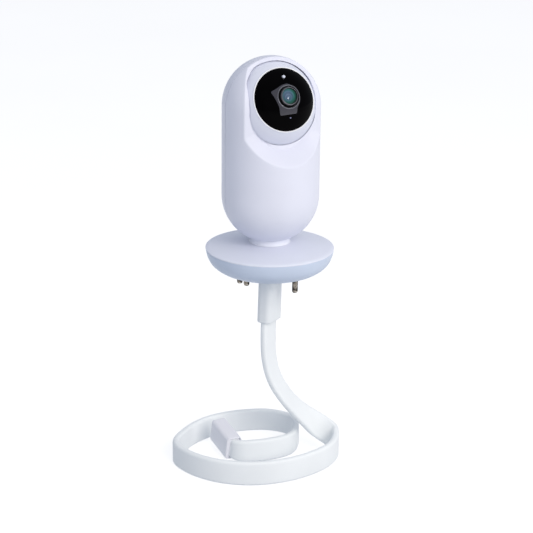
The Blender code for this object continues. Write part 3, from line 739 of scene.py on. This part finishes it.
# ---------------------------------------------------------------- base
def base():
    """The dished bowl, the slightly coned top plate and the neck ring."""
    bowl = [(4.6, 147.0, 0), (25.5, 147.0, 3), (31.6, 148.0, 4), (36.2, 149.7, 4), (40.2, 152.3, 4)]
    bowl += [(43.1, 155.2, 4), (44.8, 158.4, 4), (45.8, 161.6, 3), (46.3, 164.0, 2.0), (46.4, 165.0, 0.3)]
    bowl += [(43.4, 165.0, 0.4), (43.2, 160.0, 0), (38.0, 153.4, 0), (30.0, 149.2, 0), (4.6, 149.0, 0)]
    bowl = soften(bowl, 0.5, 6, True)
    make("bowl", turned(bowl, BODY, 192, True), BOWL, "stand", 45.0, ("base_bowl",))
    plate = [(6.2, 168.2, 0), (14.0, 168.2, 0), (40.0, 164.4, 0), (42.8, 164.4, 0.3), (46.3, 165.02, 0.1)]
    plate += [(46.55, 165.2, 0.2), (46.55, 165.9, 0.9), (44.6, 166.6, 2.0), (30.0, 168.3, 6)]
    plate = soften(plate + [(17.0, 169.9, 3), (6.2, 170.0, 0)], 0.3, 6, True)
    make("top_plate", turned(plate, BODY, 192, True), PLATE, "stand", 45.0, ("base_top_plate",))
    neck = [(9.5, 170.1, 0), (15.1, 170.1, 0.2), (14.35, 170.7, 0.6), (14.2, 173.9, 0.3), (13.7, 174.3, 0.3)]
    neck = soften(neck + [(9.5, 174.3, 0)], 0.3, 5, True)
    make("neck", turned(neck, BODY, 128, True), NECK, "stand", 45.0, ("neck_ring",))


def stud(number, x, y):
    """A clamp stud: a rounded tip, a threaded length and a head inside the bowl."""
    thread_r, root_r, pitch, low, high = 2.15, 1.85, 0.62, 137.5, 146.8
    line = [(0.0, 135.7), (0.8, 135.72), (1.45, 135.95), (1.9, 136.4), (2.1, 137.1)]
    z = low
    while z < high:
        line += [(thread_r, z), (thread_r, z + 0.18), (root_r, z + 0.36), (root_r, z + 0.5)]
        z += pitch
    line += [(2.05, 147.2), (2.05, 149.4), (3.3, 149.4), (3.3, 150.6), (0.0, 150.8)]
    place = ARM @ Matrix.Translation((x, y, 0.0))
    make(f"stud_{number}", turned(line, place, 40), STEEL, "stand", 50.0, (f"base_stud_{number}",))


base()
for number, (x, y) in enumerate(((18.5, -14.6), (-21.6, 5.2), (-16.6, -0.2)), 1):
    stud(number, x, y)


# ---------------------------------------------------------------- gooseneck arm
ARM_T, ARM_EDGE_R = 5.0, 2.1
# Each row: the strip's middle, the way its flat side faces, and its width
STATIONS = (
    (0.25, 0.0, 121.0, 0.87, -0.49, 0.0, 17.0),
    (-0.4, 0.0, 97.0, 0.87, -0.49, 0.0, 17.0),
    (0.4, 0.0, 80.0, 0.875, -0.46, 0.1, 17.0),
    (4.6, 1.5, 63.0, 0.84, -0.42, 0.33, 17.0),
    (13.2, 4.0, 47.5, 0.67, -0.4, 0.62, 17.2),
    (24.9, 8.0, 33.0, 0.46, -0.5, 0.72, 17.8),
    (37.2, 11.5, 21.6, -0.05, -0.78, 0.6, 18.2),
    (47.4, 9.0, 14.6, -0.55, -0.8, 0.22, 18.2),
    (51.0, -1.0, 11.8, -1.0, -0.1, 0.0, 18.0),
    (46.2, -16.8, 10.4, -0.85, 0.45, 0.0, 18.0),
    (33.6, -30.8, 9.6, -0.62, 0.78, 0.0, 18.2),
    (15.0, -43.2, 9.3, -0.4, 0.92, 0.0, 18.3),
    (-8.5, -50.2, 9.2, 0.0, 1.0, 0.0, 18.3),
    (-33.0, -47.4, 9.2, 0.35, 0.94, 0.0, 18.2),
    (-55.0, -33.8, 9.1, 0.75, 0.66, 0.0, 18.0),
    (-68.3, -13.5, 9.0, 1.0, 0.1, 0.0, 17.8),
    (-62.5, 10.2, 8.9, 0.85, -0.55, 0.0, 17.6),
    (-46.0, 34.0, 8.8, 0.55, -0.83, 0.0, 17.5),
    (-22.0, 47.0, 8.8, 0.3, -0.95, 0.0, 17.4),
    (2.0, 49.3, 8.8, -0.1, -1.0, 0.0, 17.4),
    (17.6, 40.3, 8.8, -0.75, -0.65, 0.0, 17.4),
    (21.4, 22.5, 8.8, -1.0, 0.0, 0.0, 17.4),
    (17.0, 4.6, 8.8, -0.6, 0.8, 0.0, 17.4),
    (3.0, -5.4, 8.8, -0.15, 1.0, 0.0, 17.4),
    (-10.5, -9.6, 8.8, 0.1, 1.0, 0.0, 17.3),
    (-19.0, -10.6, 8.9, 0.2, 0.97, 0.0, 17.0),
    (-24.6, -8.4, 9.3, 0.72, 0.68, 0.0, 15.9),
    (-28.2, -2.4, 10.9, 0.88, 0.475, 0.0, 15.6),
    (-31.3, 3.3, 12.2, 0.88, 0.475, 0.0, 15.6),
    (-35.3, 10.8, 14.0, 0.88, 0.475, 0.0, 15.6),
)


def along(rows, steps):
    """A smooth path through the rows, with steps points to each row."""
    values = len(rows[0])
    count = len(rows)
    at = [0.0]
    for one, two in zip(rows, rows[1:]):
        at.append(at[-1] + (Vector(two[:3]) - Vector(one[:3])).length)
    slopes = []
    for i in range(count):
        a, b = max(i - 1, 0), min(i + 1, count - 1)
        if a == i or b == i:
            slopes.append([(rows[b][c] - rows[a][c]) / (at[b] - at[a]) for c in range(values)])
            continue
        h0, h1 = at[i] - at[a], at[b] - at[i]
        before = [(rows[i][c] - rows[a][c]) / h0 for c in range(values)]
        after = [(rows[b][c] - rows[i][c]) / h1 for c in range(values)]
        slopes.append([(before[c] * h1 + after[c] * h0) / (h0 + h1) for c in range(values)])
    path = []
    for i in range(count - 1):
        h = at[i + 1] - at[i]
        for k in range(steps):
            u = k / steps
            w0, w1 = 2 * u**3 - 3 * u**2 + 1, u**3 - 2 * u**2 + u
            w2, w3 = 3 * u**2 - 2 * u**3, u**3 - u**2
            row = []
            for c in range(values):
                ends = w0 * rows[i][c] + w2 * rows[i + 1][c]
                row.append(ends + h * (w1 * slopes[i][c] + w3 * slopes[i + 1][c]))
            path.append(row)
    path.append(list(rows[-1]))
    return path


def evened(path, rounds):
    """The path with each inner point drawn toward its neighbours' middle, rounds times."""
    for _ in range(rounds):
        inner = []
        for near in zip(path, path[1:], path[2:]):
            inner.append([0.25 * a + 0.5 * b + 0.25 * c for a, b, c in zip(*near)])
        path = [path[0]] + inner + [path[-1]]
    return path


def arm_strip():
    """The flat silicone strip, from the collar round the coil to the end cap."""
    path = evened(along(STATIONS, 12), 6)
    rings = []
    for k, row in enumerate(path):
        here = Vector(row[:3])
        back, on = Vector(path[max(k - 1, 0)][:3]), Vector(path[min(k + 1, len(path) - 1)][:3])
        way = (on - back).normalized()
        face = Vector(row[3:6])
        face = (face - way * face.dot(way)).normalized()
        wide = way.cross(face)
        outline = rounded(row[6] / 2, ARM_T / 2, ARM_EDGE_R, 8)
        rings.append([ARM @ (here + wide * a + face * b) for a, b in outline])
    make("arm_strip", lofted(rings), SILICONE, "stand", 60.0, ("arm_sleeve",))


arm_strip()


def box_rings(start, way, face, half_a, half_b, r, ends):
    """Rounded rectangles along a line, one for each (distance, growth) of ends."""
    wide = way.cross(face)
    rings = []
    for distance, grow in ends:
        at = start + way * distance
        outline = rounded(half_a + grow, half_b + grow, r + grow, 8)
        rings.append([ARM @ (at + wide * a + face * b) for a, b in outline])
    return rings


def sleeve(name, start, end, face, half_a, half_b, r, wall, mat, replaces):
    """A box-shaped sleeve with rounded edges, a rounded open mouth at its start and a closed far end."""
    way = (end - start).normalized()
    length = (end - start).length
    mouth_r, far_r = wall / 2, 2.0
    mouth = [pi / 2 * k / 5 for k in range(6)]
    far = [pi / 2 * k / 7 for k in range(8)]
    sides = 24
    ends = [(d, -wall) for d in (length - 3.0, length * 0.5, 2.0)]
    ends += [(mouth_r * (1 - sin(a)), -wall * 0.5 - mouth_r * cos(a)) for a in mouth]
    ends += [(mouth_r * (1 - cos(a)), -mouth_r * (1 - sin(a))) for a in mouth]
    ends += [(wall + (length - wall - 2.2) * k / sides, 0.0) for k in range(sides + 1)]
    ends += [(length - far_r * (1 - sin(a)), -far_r * (1 - cos(a))) for a in far]
    bm = lofted(box_rings(start, way, face, half_a, half_b, r, ends))
    make(name, bm, mat, "stand", 50.0, replaces)


def collar():
    """The sleeve between the strip and the bowl."""
    low, high = Vector((0.0, 0.0, 109.5)), Vector((0.9, 0.0, 146.7))
    face = Vector((0.87, -0.49, 0.0)).normalized()
    sleeve("collar", low, high, face, 10.0, 5.8, 4.0, 1.6, COLLAR, ("arm_collar",))


def end_cap():
    """The cap on the strip's far end, and the insert that fills its mouth round the strip."""
    mouth, far = Vector((-25.5, -7.3, 9.6)), Vector((-38.3, 16.4, 15.4))
    way = (far - mouth).normalized()
    face = Vector((-way.y, way.x, 0.0)).normalized()
    sleeve("end_cap", mouth, far, face, 9.3, 6.1, 2.8, 1.0, TRIM, ("arm_end_cap",))
    ends = [(0.9, -0.35), (1.0, -0.1), (1.25, 0.0), (9.0, 0.0), (9.2, -0.2)]
    make("cap_insert", lofted(box_rings(mouth, way, face, 8.2, 5.0, 1.9, ends)), TRIM, "stand", 50.0)


collar()
end_cap()


# ---------------------------------------------------------------- floor and light
def floor():
    """A wide pale disc, lit from within so that it meets the white behind it."""
    mat, nodes, links, bsdf = shader("floor_white")
    stops = [(0.3, (0.44, 0.44, 0.445)), (0.7, (0.46, 0.46, 0.465))]
    links.new(ramp(nodes, links, noise(nodes, links, 3.0, 2.0), stops), bsdf.inputs["Base Color"])
    bsdf.inputs["Roughness"].default_value = 0.9
    bsdf.inputs["Specular IOR Level"].default_value = 0.0
    bsdf.inputs["Emission Color"].default_value = (1.0, 1.0, 1.0, 1.0)
    bsdf.inputs["Emission Strength"].default_value = 0.72
    bm = bmesh.new()
    bmesh.ops.create_circle(bm, cap_ends=True, segments=96, radius=6.0)
    mesh = bpy.data.meshes.new("floor")
    bm.to_mesh(mesh)
    bm.free()
    mesh.shade_smooth()
    mesh.materials.append(mat)
    obj = bpy.data.objects.new("floor", mesh)
    bpy.context.scene.collection.objects.link(obj)
    obj.visible_diffuse = False


def area(name, place, target, size, power, colour, glossy=False):
    """A rectangular light at a place in the studio, in metres, turned to a target."""
    data = bpy.data.lights.new(name, "AREA")
    data.shape, data.size, data.size_y = "RECTANGLE", size[0], size[1]
    data.energy, data.color = power, colour
    obj = bpy.data.objects.new(name, data)
    bpy.context.scene.collection.objects.link(obj)
    obj.location = STUDIO @ Vector(place)
    obj.rotation_euler = (STUDIO @ Vector(target) - obj.location).to_track_quat("-Z", "Y").to_euler()
    obj.visible_glossy = glossy


def surroundings():
    """White to the camera, and a cooler, dimmer light on the object."""
    world = bpy.data.worlds.new("studio")
    bpy.context.scene.world = world
    world.use_nodes = True
    nodes, links = world.node_tree.nodes, world.node_tree.links
    seen = nodes.new("ShaderNodeBackground")
    seen.inputs["Color"].default_value = (1.0, 1.0, 1.0, 1.0)
    seen.inputs["Strength"].default_value = 1.1
    light = nodes["Background"]
    light.inputs["Color"].default_value = (0.82, 0.88, 1.0, 1.0)
    light.inputs["Strength"].default_value = 0.56
    path = nodes.new("ShaderNodeLightPath")
    mix = nodes.new("ShaderNodeMixShader")
    links.new(path.outputs["Is Camera Ray"], mix.inputs["Fac"])
    links.new(light.outputs["Background"], mix.inputs[1])
    links.new(seen.outputs["Background"], mix.inputs[2])
    links.new(mix.outputs["Shader"], nodes["World Output"].inputs["Surface"])


floor()
area("key", (0.66, -1.15, 0.92), (0, 0, 0.2), (0.9, 0.9), 13.2, (1.0, 0.93, 0.85))
area("rim", (1.5, 0.1, 0.5), (0, 0, 0.2), (0.6, 0.9), 2.2, (1.0, 0.96, 0.9))
area("top", (0.1, 0.1, 1.6), (0, 0, 0.1), (1.2, 1.2), 2.5, (1.0, 0.98, 0.95))
area("glint", (0.73, -0.78, 0.69), (0, 0, 0.27), (0.07, 0.07), 0.55, (1.0, 1.0, 1.0), True)
surroundings()
bpy.context.scene.view_settings.view_transform = "Standard"
